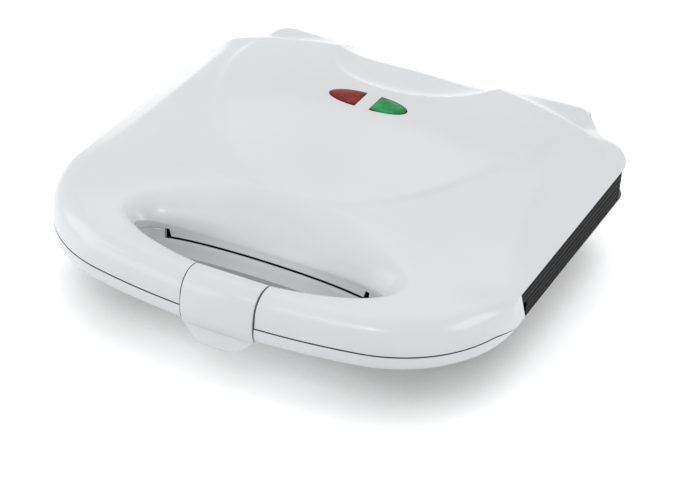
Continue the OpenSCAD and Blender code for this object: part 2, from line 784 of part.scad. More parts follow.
module neon_lamps() {
    color("orange")
        both_sides()
            translate([11, lens_y, lamp_z]) {
                cylinder(h = 3.8, r = 2.5);
                translate([0, 0, 3.8])
                    sphere(r = 2.5, $fn = 24);
            }
}

lens_top = seam_z + crown_h + 0.1;
lens_foot_z = lens_top - 4.6;

// Indicator lens: half an oval with a rounded tip, and a flange that seats under the lid
module lens_body() {
    difference() {
        union() {
            translate([0, 0, lens_foot_z])
                linear_extrude(lens_top - 0.5 - lens_foot_z)
                    lens_plan(0);
            translate([0, 0, lens_top - 0.5])
                linear_extrude(0.5, scale = 0.94)
                    lens_plan(0);
            translate([0, 0, lens_foot_z])
                linear_extrude(1)
                    lens_plan(0.9);
        }
        translate([lens_x + 2, lens_y - 4, lens_foot_z - 1])
            cube([10, 8, 3.4]);
    }
}

module green_lens() {
    color("#1fa055")
        lens_body();
}

module red_lens() {
    color("#a01810")
        mirror([1, 0, 0])
            lens_body();
}

module terminal_block() {
    color("ivory")
        difference() {
            translate([-14, front_y + 188, floor_z + wall + 1.15])
                cube([28, 9, 8]);
            for (x = [-9, 0, 9])
                translate([x, front_y + 187, floor_z + wall + 4.5])
                    rotate([-90, 0, 0])
                        cylinder(h = 12, r = 1.5);
        }
}

module lower_wiring() {
    z = lower_element_z;
    color("#b03020")
        for (x = [-9, 9])
            tube_run([[x, front_y + 188, floor_z + wall + 4.5], [x, front_y + 185.5, floor_z + wall + 5],
                      [x, front_y + 184, z - 6], [x, front_y + 183.4, z - 1.5], [x, front_y + 181.4, z],
                      [x, loop_back + 2.7, z]], 2.4, 8);
}

module upper_wiring() {
    z = upper_element_z;
    color("#b03020")
        for (m = [-1, 1])
            tube_run([[m * 23.2, lens_y, lamp_z + 3], [m * 30, lens_y + 1, lamp_z + 2.7],
                      [m * 42, lens_y + 9, lamp_z + 1.5], [m * 45, front_y + 172, lamp_z + 1.1],
                      [m * 38, front_y + 182, lamp_z + 0.5], [m * 26, front_y + 186.5, lamp_z - 1.5],
                      [m * 13, front_y + 185, z + 0.6], [m * 9, front_y + 182, z],
                      [m * 8.5, loop_back + 2.5, z]], 1.8, 8);
}

module cord_inlet() {
    color("#303030")
        translate([0, back_wall_y - 3, inlet_z])
            rotate([-90, 0, 0])
                difference() {
                    union() {
                        translate([0, 0, -8])
                            cylinder(h = 9, r = 5.9);
                        cylinder(h = 2, r = 8);
                    }
                    translate([0, 0, -9])
                        cylinder(h = 12, r = 3.6);
                }
}

// ---- Feet and fasteners ----

module rubber_feet() {
    color("#3a3a3a")
        both_sides()
            for (p = foot_at)
                translate([p[0], p[1], 0]) {
                    cylinder(h = floor_z, r1 = 6.2, r2 = 6.6);
                    cylinder(h = floor_z + 3, r = 2.3);
                }
}

module bottom_screws() {
    color("silver")
        both_sides()
            for (p = screw_at)
                translate([p[0], p[1], strip_low_z - 4.6])
                    pan_screw(1.5, 7.5, 2.9, 1.8);
}

module lid_screws() {
    color("silver")
        both_sides()
            for (p = screw_at)
                translate([p[0], p[1], split_z + 2.4])
                    pan_screw(1.5, 7, 2.9, 1.8);
}

module lower_plate_screws() {
    color("silver")
        for (p = plate_screw_at)
            translate([p[0], p[1], split_z - frame_gap - plate_head_sink])
                mirror([0, 0, 1])
                    pan_screw(1.7, 5, 3, 0.9);
}

module upper_plate_screws() {
    color("silver")
        for (p = plate_screw_at)
            translate([p[0], p[1], split_z + frame_gap + plate_head_sink])
                pan_screw(1.7, 5, 3, 0.9);
}

module hinge_pins() {
    color("silver")
        both_sides()
            rod_x(block_in + 1.5, block_out - 1.5, hinge_y, hinge_z, hinge_pin_d / 2);
}

// ---- Latch ----

latch_profile = [[15, 12.2], [14.3, 13.6], [10, 14.6], [6.5, 14.2], [3.4, 12.4], [1.2, 9.2], [0.1, 5], [-0.2, 0],
                 [-0.4, -6], [1.0, -11], [2.8, -15.6], [4.2, -17], [5.8, -16], [7.6, -12], [9.2, -8.95],
                 [8.2, -8.5], [5.5, -7.8], [2.7, -6.75], [2.5, 0], [2.7, 5], [3.7, 8.3], [5.4, 10.7], [8, 12],
                 [12.6, 11.8], [13, 11]];

module latch_clip() {
    color("white")
        difference() {
            union() {
                intersection() {
                    along_x(placed(latch_profile), latch_w);
                    // The lip's lower edge is an arc, seen from the front
                    union() {
                        translate([0, front_y - 10, seam_z + 4.7])
                            rotate([-90, 0, 0])
                                cylinder(h = 40, r = 21.8, $fn = 96);
                        translate([-latch_w, front_y - 10, seam_z - 4])
                            cube([2 * latch_w, 40, 30]);
                    }
                }
                // Lugs that turn on the pin
                both_sides()
                    translate([latch_w / 2 - 1.5, 0, 0])
                        difference() {
                            union() {
                                rod_x(-1.5, 1.5, latch_y, latch_z, 2.9);
                                along_x(placed([[8, 9], [8, 13], [13, 13], [13.4, 10]]), 3);
                            }
                        }
            }
            rod_x(-latch_w, latch_w, latch_y, latch_z, latch_pin_d / 2 + 0.06);
        }
}

module latch_pin() {
    color("silver")
        rod_x(-latch_w / 2 - 2.2, latch_w / 2 + 2.2, latch_y, latch_z, latch_pin_d / 2);
}

bottom_cover();
lower_frame();
lower_plate();
lower_plate_screws();
lower_element();
lower_element_clips();
lower_reflector();
bottom_screws();
rubber_feet();
cord_inlet();
terminal_block();
lower_wiring();
top_cover();
upper_frame();
upper_plate();
upper_plate_screws();
upper_element();
upper_element_clips();
upper_reflector();
lid_screws();
thermostat();
thermal_fuse();
lamp_holder();
neon_lamps();
red_lens();
green_lens();
upper_wiring();
hinge_pins();
latch_clip();
latch_pin();
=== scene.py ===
import bpy
import bmesh
import numpy as np
from math import pi, cos, sin, sqrt, radians, atan2, acos
from mathutils import Matrix, Vector
from mathutils.geometry import delaunay_2d_cdt
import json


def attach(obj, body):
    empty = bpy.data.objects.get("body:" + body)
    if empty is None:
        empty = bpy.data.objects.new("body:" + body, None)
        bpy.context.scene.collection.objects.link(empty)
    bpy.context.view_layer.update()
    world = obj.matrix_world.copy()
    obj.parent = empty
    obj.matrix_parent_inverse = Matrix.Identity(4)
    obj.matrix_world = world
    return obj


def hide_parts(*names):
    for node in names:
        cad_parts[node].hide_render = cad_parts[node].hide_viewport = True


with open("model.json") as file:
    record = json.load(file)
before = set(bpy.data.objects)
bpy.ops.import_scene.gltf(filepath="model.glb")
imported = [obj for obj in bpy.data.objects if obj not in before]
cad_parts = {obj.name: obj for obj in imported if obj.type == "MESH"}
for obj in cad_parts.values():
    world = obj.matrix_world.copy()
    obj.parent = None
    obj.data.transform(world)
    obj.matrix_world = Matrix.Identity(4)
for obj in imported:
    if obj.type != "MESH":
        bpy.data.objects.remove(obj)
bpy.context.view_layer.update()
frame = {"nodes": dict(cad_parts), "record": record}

MM = 0.001
NODES = frame["nodes"]

# ---------------------------------------------------------------- sizes, in mm
# x is across, s is the distance back from the handle's front, z is the height over the handle seam
HALF_W, FRONT_R, CORNER_R, BACK_R = 110.5, 298.0, 60.0, 14.0
GRIP_H, CROWN_H, GRIP_ROUND, UNDER_H = 14.4, 37.8, 9.0, 7.8
S0, Z0 = 114.5, 38.0
HEART, DEPTH = np.array([0.0, 118.0]), 118
BACK_S, BLOCK_OUT, BLOCK_IN, BACK_WALL_S = 229.4, 81.0, 49.0, 222.0
FINGER_A, FINGER_B, FINGER_S, FINGER_BOW = 60.0, 17.0, 32.0, 0.0012
STRIP_TOP, STRIP_LOW, FLOOR_Z, WALL = 11.0, -5.0, -34.0, 2.5
HINGE_S, HINGE_Z, LATCH_S, LATCH_Z = 219.0, 5.0, 11.0, 10.0
LATCH_HALF, LATCH_GAP = 17.2, 0.6
LENS_IN, LENS_LENGTH, LENS_B, LENS_S = 3.5, 15.8, 6.95, 142.7


def row(x, s, z):
    """A point of this script's millimetres as a point of the frame, in metres."""
    return (x * MM, (s - S0) * MM, (z + Z0) * MM)


# ---------------------------------------------------------------- form of the lid
def clamp01(t):
    return np.clip(t, 0.0, 1.0)


def ease(t):
    """Smooth step from 0 to 1."""
    t = clamp01(t)
    return t * t * (3 - 2 * t)


def mix(a, b, t):
    return a + (b - a) * t


def soft_ramp(t, w):
    """max(0, t) with its corner rounded over w mm to each side."""
    return np.where(t <= -w, 0.0, np.where(t >= w, t, (t + w) ** 2 / (4 * w)))


def spine(s):
    """Height along the middle, from the handle up to the crown and down to the hinge."""
    return GRIP_H + (CROWN_H - GRIP_H) * ease((s - 12) / 128) - 0.0017 * np.maximum(0, s - 145) ** 2


def back_slope(x, s):
    """Fall behind the break line near the hinge."""
    return 0.245 * soft_ramp(s - 201 + 0.0012 * x * x, 2) * (1 - ease((abs(x) - 96) / 14))


def panel_x(s):
    """Half width of the raised centre panel."""
    return 80 * np.sqrt(np.maximum(0.01, 1 - (np.maximum(0, 190 - s) / 120) ** 2))


def flank_x(s):
    """Distance of the flank's crease from the middle."""
    return HALF_W - 6 - 15 * np.maximum(0, 1 - ((s - 140) / 75) ** 2)


def side_drop(x, s):
    """Fall from the middle to the side, before it is scaled to meet the rim."""
    return (0.0008 * x * x + 0.07 * soft_ramp(abs(x) - panel_x(s), 5)
            + 0.45 * soft_ramp(abs(x) - flank_x(s), 3))


def rim_h(s):
    """Height of the lid's side rim."""
    return mix(GRIP_H, STRIP_TOP + 0.3, ease((s - 35) / 35))


def panel_step(x, s):
    """Depth of the bevelled step at the centre panel's edge."""
    return 1.2 * ease((abs(x) - panel_x(s)) / 5) * ease((s - 68) / 35) * (1 - ease((s - 176) / 17))


def block_level(x, s):
    """Share that the level hinge blocks have in the form."""
    return ease((s - 204) / 16) * (1 - ease((abs(x) - 82) / 10))


def dome(x, s):
    """The lid's outside height before its edge, hollow and opening are shaped."""
    side = side_drop(x, s) / side_drop(np.full_like(s, HALF_W), s)
    fall = mix((spine(s) - rim_h(s)) * side, 0.06 * np.maximum(0, BLOCK_OUT - abs(x)), block_level(x, s))
    return spine(s) - back_slope(x, s) - panel_step(x, s) * (1 - side * side) - fall


def edge_share(s):
    """How much of the handle's round edge the rim has."""
    return mix(1.04, 0, ease((s - 35) / 33)) + 0.18 * ease((s - 193) / 20)


def edge_drop(d):
    """Fall of a round edge, d mm in from it."""
    t = 1 - clamp01(d / GRIP_ROUND)
    return GRIP_ROUND * (1 - np.sqrt(1 - t * t))


def scoop(x, s):
    """Depth of the rounded hollow between the hinge blocks."""
    r = ((abs(x) / 44) ** 2.3 + (np.maximum(0, 222 - s) / 64) ** 2.3) ** (1 / 2.3)
    return np.where(r < 1, 5.4 * (1 - r ** 5), 0.0)


def finger_r(x, s):
    """1 on the opening's wall and less inside it."""
    return np.sqrt((x / FINGER_A) ** 2 + ((s - FINGER_S - FINGER_BOW * x * x) / FINGER_B) ** 2)


def brow_r(x, s):
    """1 on the outer edge of the roll round the opening and less inside it."""
    return np.sqrt((x / (FINGER_A + 10)) ** 2 + ((s - 41) / 31) ** 2)


def brow_rise(t):
    """Profile of that roll, from the opening's lip to the top."""
    return mix(np.sin(pi / 2 * t), np.sqrt(1 - (1 - t) ** 2), 0.75)


def skin(x, s, d):
    """The lid's outside height at (x, s), which lies d mm in from its edge."""
    a = np.maximum(0, finger_r(x, s) - 0.93)
    b = np.maximum(0, 1 - brow_r(x, s))
    t = np.where(brow_r(x, s) >= 1, 1.0, a / np.maximum(0.001, a + b * 1.6))
    full = dome(x, s) - edge_share(s) * edge_drop(d) - scoop(x, s)
    return mix(mix(9.5, -1.5, ease((s - 18) / 22)), full, brow_rise(t))


# ---------------------------------------------------------------- plan outlines
def arc(cx, cs, r, a0, a1, step):
    n = max(2, int(abs(a1 - a0) * r / step) + 1)
    a = np.linspace(a0, a1, n + 1)
    return [(cx + r * cos(v), cs + r * sin(v)) for v in a]


def line(p, q, step):
    n = max(1, int(np.hypot(q[0] - p[0], q[1] - p[1]) / step))
    return [(mix(p[0], q[0], i / n), mix(p[1], q[1], i / n)) for i in range(1, n + 1)]


def round_corner(p, c, q, r, step):
    """Points of an arc of radius r that replaces the corner c between p and q."""
    p, c, q = map(np.array, (p, c, q))
    u, v = (p - c) / np.linalg.norm(p - c), (q - c) / np.linalg.norm(q - c)
    half = acos(np.clip(u @ v, -1, 1)) / 2
    o = c + (u + v) / np.linalg.norm(u + v) * r / sin(half)
    a, b = c + u * r / np.tan(half) - o, c + v * r / np.tan(half) - o
    a0, a1 = atan2(a[1], a[0]), atan2(b[1], b[0])
    a1 += 2 * pi * round((a0 - a1) / (2 * pi))
    return arc(o[0], o[1], r, a0, a1, step)


def outline(blocks, step=1.3):
    """Plan outline of the covers, with or without the lid's hinge blocks."""
    corner_x = HALF_W - CORNER_R
    corner_s = FRONT_R - sqrt((FRONT_R - CORNER_R) ** 2 - corner_x ** 2)
    turn = np.arcsin(corner_x / (FRONT_R - CORNER_R))
    slant = radians(30)
    h = arc(0, FRONT_R, FRONT_R, -pi / 2, -pi / 2 + turn, step)
    h += arc(corner_x, corner_s, CORNER_R, -pi / 2 + turn, 0, step)[1:]
    h += line(h[-1], (HALF_W, 193), step)
    h += arc(HALF_W - BACK_R, 193, BACK_R, 0, pi / 2 - slant, step)[1:]
    start = h[-1]
    end = (BLOCK_OUT, start[1] + (start[0] - BLOCK_OUT) * np.tan(slant))
    if blocks:
        run = [start, end, (BLOCK_OUT, BACK_S), (BLOCK_IN, BACK_S), (BLOCK_IN - 3.8, BACK_WALL_S), (0, BACK_WALL_S)]
        radii = [0, 5, 4.5, 2.5, 2.5, 0]
    else:
        run = [start, (BLOCK_IN - 3.8, BACK_WALL_S), (0, BACK_WALL_S)]
        radii = [0, 20, 0]
    for i in range(1, len(run) - 1):
        c = round_corner(run[i - 1], run[i], run[i + 1], radii[i], step / 2)
        h += line(h[-1], c[0], step) + c[1:]
    h += line(h[-1], run[-1], step)
    h = np.array(h)
    return np.vstack([h, h[-2:0:-1] * [-1, 1]])


def ring(plan, d):
    """The plan drawn in towards its heart, by about d mm."""
    return plan + (HEART - plan) * (d / DEPTH)


# ---------------------------------------------------------------- mesh helpers
def new_object(name, verts, faces, smooth=True, sharp=35):
    mesh = bpy.data.meshes.new(name)
    mesh.from_pydata([tuple(v) for v in verts], [], faces)
    mesh.validate()
    mesh.update()
    if smooth:
        mesh.polygons.foreach_set("use_smooth", [True] * len(mesh.polygons))
        mesh.set_sharp_from_angle(angle=radians(sharp))
    obj = bpy.data.objects.new(name, mesh)
    bpy.context.scene.collection.objects.link(obj)
    return obj


def band_faces(n, a, b):
    """Faces between two closed rings of n points that start at a and b."""
    return [(a + i, a + (i + 1) % n, b + (i + 1) % n, b + i) for i in range(n)]


def loft(rings, caps=(True, True)):
    """Closed skin through rings of equal length, each closed at its centre point."""
    n, k = len(rings[0]), len(rings)
    verts = [p for r in rings for p in r]
    faces = [f for j in range(k - 1) for f in band_faces(n, j * n, (j + 1) * n)]
    for end, on in ((0, caps[0]), (k - 1, caps[1])):
        if on:
            c = len(verts)
            verts.append(tuple(np.mean(np.array(rings[end]), axis=0)))
            fan = [(c, end * n + (i + 1) % n, end * n + i) for i in range(n)]
            faces += fan if end == 0 else [f[::-1] for f in fan]
    return verts, faces


def prism(points, to_row):
    """A prism between two offset copies of a closed polygon; to_row(p, end) gives the row point."""
    n = len(points)
    verts = [to_row(p, e) for e in (0, 1) for p in points]
    faces = [tuple(range(n))[::-1], tuple(range(n, 2 * n))]
    faces += [(i, (i + 1) % n, n + (i + 1) % n, n + i) for i in range(n)]
    return verts, faces


def prism_x(profile, x0, x1):
    """A prism across, from an (s, z) profile."""
    return prism(profile, lambda p, e: row((x0, x1)[e], p[0], p[1]))


def prism_z(plan, z0, z1):
    """An upright prism, from an (x, s) plan."""
    return prism(plan, lambda p, e: row(p[0], p[1], (z0, z1)[e]))


def rod_x(x0, x1, s, z, r, n=64):
    return prism_x([(s + r * cos(2 * pi * i / n), z + r * sin(2 * pi * i / n)) for i in range(n)], x0, x1)


def rod_y(s0, s1, x, z, r, n=64):
    c = [(x + r * cos(2 * pi * i / n), z + r * sin(2 * pi * i / n)) for i in range(n)]
    return prism(c, lambda p, e: row(p[0], (s0, s1)[e], p[1]))


def rod_z(z0, z1, x, s, r, n=64):
    return prism_z([(x + r * cos(2 * pi * i / n), s + r * sin(2 * pi * i / n)) for i in range(n)], z0, z1)


def merged(parts):
    """Several (vertices, faces) parts as one."""
    verts, faces = [], []
    for v, f in parts:
        k = len(verts)
        verts += list(v)
        faces += [tuple(i + k for i in face) for face in f]
    return verts, faces


def outward(obj):
    """Turns every closed part's faces outwards."""
    bm = bmesh.new()
    bm.from_mesh(obj.data)
    bmesh.ops.recalc_face_normals(bm, faces=bm.faces)
    bm.to_mesh(obj.data)
    bm.free()


def carve(obj, parts):
    """Cuts the given solids out one by one and keeps the result as obj's own mesh."""
    tools = []
    for verts, faces in parts:
        tool = new_object("tool", verts, faces, smooth=False)
        outward(tool)
        mod = obj.modifiers.new("cut", "BOOLEAN")
        mod.operation = "DIFFERENCE"
        mod.solver = "MANIFOLD"
        mod.object = tool
        tools.append(tool)
    settle(obj)
    for tool in tools:
        bpy.data.objects.remove(tool)


def settle(obj, sharp=35):
    """Applies obj's modifiers and shades it smooth between its sharp edges."""
    bpy.context.view_layer.update()
    mesh = bpy.data.meshes.new_from_object(obj.evaluated_get(bpy.context.evaluated_depsgraph_get()))
    obj.modifiers.clear()
    old = obj.data
    obj.data = mesh
    bpy.data.meshes.remove(old)
    mesh.polygons.foreach_set("use_smooth", [True] * len(mesh.polygons))
    mesh.set_sharp_from_angle(angle=radians(sharp))


def join_into(obj, parts, bevel=0.0):
    """Adds solids beside obj's own mesh, their edges rounded by bevel mm."""
    verts, faces = merged(parts)
    extra = new_object("extra", verts, faces, smooth=False)
    outward(extra)
    if bevel:
        mod = extra.modifiers.new("round", "BEVEL")
        mod.width = bevel * MM
        mod.segments = 3
        mod.limit_method = "ANGLE"
        mod.angle_limit = radians(40)
    settle(extra)
    bm = bmesh.new()
    bm.from_mesh(obj.data)
    bm.from_mesh(extra.data)
    bm.to_mesh(obj.data)
    bm.free()
    bpy.data.objects.remove(extra)
    obj.data.set_sharp_from_angle(angle=radians(35))


# ---------------------------------------------------------------- colours and materials
def rgb(code):
    """A display colour such as #e3e4e6 as linear red, green, blue and full alpha."""
    v = [int(code[i:i + 2], 16) / 255 for i in (1, 3, 5)]
    return tuple(c / 12.92 if c <= 0.04045 else ((c + 0.055) / 1.055) ** 2.4 for c in v) + (1.0,)


def node(tree, kind, settings=(), links=()):
    """Adds one node, sets its fields and inputs, and links (input, node, output) triples."""
    n = tree.nodes.new(kind)
    for key, value in dict(settings).items():
        if isinstance(key, str) and hasattr(n, key):
            setattr(n, key, value)
        else:
            n.inputs[key].default_value = value
    for name, source, out in links:
        tree.links.new(source.outputs[out], n.inputs[name])
    return n


def material(name):
    """A new material with an empty node tree."""
    m = bpy.data.materials.new(name)
    m.use_nodes = True
    m.node_tree.nodes.clear()
    return m, m.node_tree


def finish_with(tree, shader):
    """Links the shader to the surface."""
    node(tree, "ShaderNodeOutputMaterial", {}, [("Surface", shader, 0)])


# Object coordinates are in metres, so a scale of 1000 / size gives a pattern of that size in mm
MATERIALS = {}

# White gloss ABS of the covers: clean, cool white with the faint waviness of a moulded skin, and painted shade that
# darkens the colour in creases and recesses
m, t = material("white_gloss_abs")
pos = node(t, "ShaderNodeTexCoord")
cloud = node(t, "ShaderNodeTexNoise", {"Scale": 1000 / 55, "Detail": 2.0}, [("Vector", pos, "Object")])
tone = node(t, "ShaderNodeValToRGB", {}, [("Fac", cloud, "Fac")])
tone.color_ramp.elements[0].position, tone.color_ramp.elements[0].color = 0.3, rgb("#e4e5e6")
tone.color_ramp.elements[1].position, tone.color_ramp.elements[1].color = 0.7, rgb("#e8e9ea")
# Painted shade: the white is darkened where other surfaces lie within 35 mm, as in creases and the finger opening
shade_mask = node(t, "ShaderNodeAmbientOcclusion", {"samples": 12, "Distance": 0.035})
painted_shade = node(t, "ShaderNodeMapRange", {"From Min": 0.3, "From Max": 0.95, "To Min": 0.55, "To Max": 1.0},
    [("Value", shade_mask, "AO")])
shaded_skin_tone = node(t, "ShaderNodeVectorMath", {"operation": "SCALE"}, [(0, tone, "Color"), ("Scale", painted_shade, "Result")])
haze = node(t, "ShaderNodeTexNoise", {"Scale": 1000 / 9, "Detail": 3.0}, [("Vector", pos, "Object")])
rough = node(t, "ShaderNodeMapRange", {"To Min": 0.16, "To Max": 0.22}, [("Value", haze, "Fac")])
peel = node(t, "ShaderNodeTexNoise", {"Scale": 1000 / 2.4, "Detail": 1.0}, [("Vector", pos, "Object")])
bump = node(t, "ShaderNodeBump", {"Strength": 0.035, "Distance": 0.0002}, [("Height", peel, "Fac")])
finish_with(t, node(t, "ShaderNodeBsdfPrincipled",
    {"IOR": 1.53, "Subsurface Weight": 0.05, "Subsurface Radius": (0.004, 0.004, 0.004), "Subsurface Scale": 1.0},
    [("Base Color", shaded_skin_tone, "Vector"), ("Roughness", rough, "Result"), ("Normal", bump, "Normal")]))
MATERIALS["white_plastic"] = m

# Black heat-resistant polyester of the two frames: satin, with a fine spark-eroded grain
m, t = material("black_frame_plastic")
pos = node(t, "ShaderNodeTexCoord")
grain = node(t, "ShaderNodeTexNoise", {"Scale": 1000 / 0.7, "Detail": 3.0}, [("Vector", pos, "Object")])
tone = node(t, "ShaderNodeValToRGB", {}, [("Fac", grain, "Fac")])
tone.color_ramp.elements[0].position, tone.color_ramp.elements[0].color = 0.35, rgb("#0e0e0f")
tone.color_ramp.elements[1].position, tone.color_ramp.elements[1].color = 0.65, rgb("#151516")
bump = node(t, "ShaderNodeBump", {"Strength": 0.25, "Distance": 0.0001}, [("Height", grain, "Fac")])
rough = node(t, "ShaderNodeMapRange", {"To Min": 0.55, "To Max": 0.66}, [("Value", grain, "Fac")])
finish_with(t, node(t, "ShaderNodeBsdfPrincipled", {"IOR": 1.54, "Specular IOR Level": 0.08},
    [("Base Color", tone, "Color"), ("Roughness", rough, "Result"), ("Normal", bump, "Normal")]))
MATERIALS["black_plastic"] = m

# Non-stick coating on the cast plates: near-black, faintly speckled, low sheen over a slightly uneven casting
m, t = material("nonstick_coated_aluminium")
pos = node(t, "ShaderNodeTexCoord")
fleck = node(t, "ShaderNodeTexVoronoi", {"Scale": 1000 / 0.9}, [("Vector", pos, "Object")])
tone = node(t, "ShaderNodeValToRGB", {}, [("Fac", fleck, "Distance")])
tone.color_ramp.elements[0].position, tone.color_ramp.elements[0].color = 0.04, rgb("#55565a")
tone.color_ramp.elements[1].position, tone.color_ramp.elements[1].color = 0.16, rgb("#2a2b2d")
wave = node(t, "ShaderNodeTexNoise", {"Scale": 1000 / 3.5, "Detail": 4.0}, [("Vector", pos, "Object")])
bump = node(t, "ShaderNodeBump", {"Strength": 0.2, "Distance": 0.0003}, [("Height", wave, "Fac")])
rough = node(t, "ShaderNodeMapRange", {"To Min": 0.32, "To Max": 0.45}, [("Value", wave, "Fac")])
finish_with(t, node(t, "ShaderNodeBsdfPrincipled", {"IOR": 1.35},
    [("Base Color", tone, "Color"), ("Roughness", rough, "Result"), ("Normal", bump, "Normal")]))
MATERIALS["coated_plate"] = m

# Zinc-plated steel of pins, screws and clips: pale grey metal with a soft drawn grain
m, t = material("zinc_plated_steel")
pos = node(t, "ShaderNodeTexCoord")
grain = node(t, "ShaderNodeTexNoise", {"Scale": 1000 / 1.2, "Detail": 4.0}, [("Vector", pos, "Object")])
tone = node(t, "ShaderNodeValToRGB", {}, [("Fac", grain, "Fac")])
tone.color_ramp.elements[0].position, tone.color_ramp.elements[0].color = 0.3, rgb("#a9abae")
tone.color_ramp.elements[1].position, tone.color_ramp.elements[1].color = 0.7, rgb("#c0c2c5")
rough = node(t, "ShaderNodeMapRange", {"To Min": 0.28, "To Max": 0.42}, [("Value", grain, "Fac")])
finish_with(t, node(t, "ShaderNodeBsdfPrincipled", {"Metallic": 1.0},
    [("Base Color", tone, "Color"), ("Roughness", rough, "Result")]))
MATERIALS["steel"] = m

# Element sheath: stainless tube browned unevenly by heat
m, t = material("heat_tinted_steel")
pos = node(t, "ShaderNodeTexCoord")
tint = node(t, "ShaderNodeTexNoise", {"Scale": 1000 / 14, "Detail": 3.0}, [("Vector", pos, "Object")])
tone = node(t, "ShaderNodeValToRGB", {}, [("Fac", tint, "Fac")])
tone.color_ramp.elements[0].position, tone.color_ramp.elements[0].color = 0.35, rgb("#6b6259")
tone.color_ramp.elements[1].position, tone.color_ramp.elements[1].color = 0.7, rgb("#8f8a84")
rough = node(t, "ShaderNodeMapRange", {"To Min": 0.38, "To Max": 0.52}, [("Value", tint, "Fac")])
finish_with(t, node(t, "ShaderNodeBsdfPrincipled", {"Metallic": 1.0},
    [("Base Color", tone, "Color"), ("Roughness", rough, "Result")]))
MATERIALS["element_steel"] = m

# Rolled aluminium of the reflectors: bright sheet with long rolling lines
m, t = material("rolled_aluminium")
pos = node(t, "ShaderNodeTexCoord")
run = node(t, "ShaderNodeMapping", {"Scale": (30.0, 900.0, 900.0)}, [("Vector", pos, "Object")])
lines = node(t, "ShaderNodeTexNoise", {"Scale": 1.0, "Detail": 3.0}, [("Vector", run, "Vector")])
tone = node(t, "ShaderNodeValToRGB", {}, [("Fac", lines, "Fac")])
tone.color_ramp.elements[0].color, tone.color_ramp.elements[1].color = rgb("#c9cacb"), rgb("#dcdddd")
rough = node(t, "ShaderNodeMapRange", {"To Min": 0.22, "To Max": 0.36}, [("Value", lines, "Fac")])
finish_with(t, node(t, "ShaderNodeBsdfPrincipled", {"Metallic": 1.0},
    [("Base Color", tone, "Color"), ("Roughness", rough, "Result")]))
MATERIALS["reflector"] = m

# Moulded rubber of feet and grommet: matt dark grey with a dusty bloom
m, t = material("moulded_rubber")
pos = node(t, "ShaderNodeTexCoord")
bloom = node(t, "ShaderNodeTexNoise", {"Scale": 1000 / 4, "Detail": 4.0}, [("Vector", pos, "Object")])
tone = node(t, "ShaderNodeValToRGB", {}, [("Fac", bloom, "Fac")])
tone.color_ramp.elements[0].position, tone.color_ramp.elements[0].color = 0.35, rgb("#2b2b2b")
tone.color_ramp.elements[1].position, tone.color_ramp.elements[1].color = 0.75, rgb("#3a3a39")
bump = node(t, "ShaderNodeBump", {"Strength": 0.3, "Distance": 0.0002}, [("Height", bloom, "Fac")])
finish_with(t, node(t, "ShaderNodeBsdfPrincipled", {"IOR": 1.52, "Roughness": 0.78},
    [("Base Color", tone, "Color"), ("Normal", bump, "Normal")]))
MATERIALS["rubber"] = m

# Brown phenolic of the thermostat: hard and slightly mottled
m, t = material("brown_phenolic")
pos = node(t, "ShaderNodeTexCoord")
mottle = node(t, "ShaderNodeTexNoise", {"Scale": 1000 / 2, "Detail": 4.0}, [("Vector", pos, "Object")])
tone = node(t, "ShaderNodeValToRGB", {}, [("Fac", mottle, "Fac")])
tone.color_ramp.elements[0].color, tone.color_ramp.elements[1].color = rgb("#6b4a2e"), rgb("#8a6541")
finish_with(t, node(t, "ShaderNodeBsdfPrincipled", {"IOR": 1.6, "Roughness": 0.45}, [("Base Color", tone, "Color")]))
MATERIALS["bakelite"] = m

# Ivory heat-resistant plastic of the lamp holder, fuse and terminal block: matt, with a warm cast
m, t = material("ivory_plastic")
pos = node(t, "ShaderNodeTexCoord")
cast = node(t, "ShaderNodeTexNoise", {"Scale": 1000 / 6, "Detail": 3.0}, [("Vector", pos, "Object")])
tone = node(t, "ShaderNodeValToRGB", {}, [("Fac", cast, "Fac")])
tone.color_ramp.elements[0].color, tone.color_ramp.elements[1].color = rgb("#d8cfb8"), rgb("#e4dcc6")
finish_with(t, node(t, "ShaderNodeBsdfPrincipled", {"IOR": 1.53, "Roughness": 0.5}, [("Base Color", tone, "Color")]))
MATERIALS["ivory_plastic"] = m

# Braided sleeve of the leads: brick red with a fine weave
m, t = material("sleeved_wire")
pos = node(t, "ShaderNodeTexCoord")
weave = node(t, "ShaderNodeTexChecker", {"Scale": 1000 / 0.5, "Color1": rgb("#a3372a"), "Color2": rgb("#7f2a20")},
    [("Vector", pos, "Object")])
bump = node(t, "ShaderNodeBump", {"Strength": 0.3, "Distance": 0.0001}, [("Height", weave, "Fac")])
finish_with(t, node(t, "ShaderNodeBsdfPrincipled", {"IOR": 1.5, "Roughness": 0.8},
    [("Base Color", weave, "Color"), ("Normal", bump, "Normal")]))
MATERIALS["wire_red"] = m

# Neon lamp glass: clear with a warm tint
m, t = material("lamp_glass")
pos = node(t, "ShaderNodeTexCoord")
smear = node(t, "ShaderNodeTexNoise", {"Scale": 1000 / 3}, [("Vector", pos, "Object")])
rough = node(t, "ShaderNodeMapRange", {"To Min": 0.02, "To Max": 0.08}, [("Value", smear, "Fac")])
finish_with(t, node(t, "ShaderNodeBsdfPrincipled",
    {"IOR": 1.5, "Transmission Weight": 1.0, "Base Color": rgb("#f3cfae")}, [("Roughness", rough, "Result")]))
MATERIALS["neon_glass"] = m
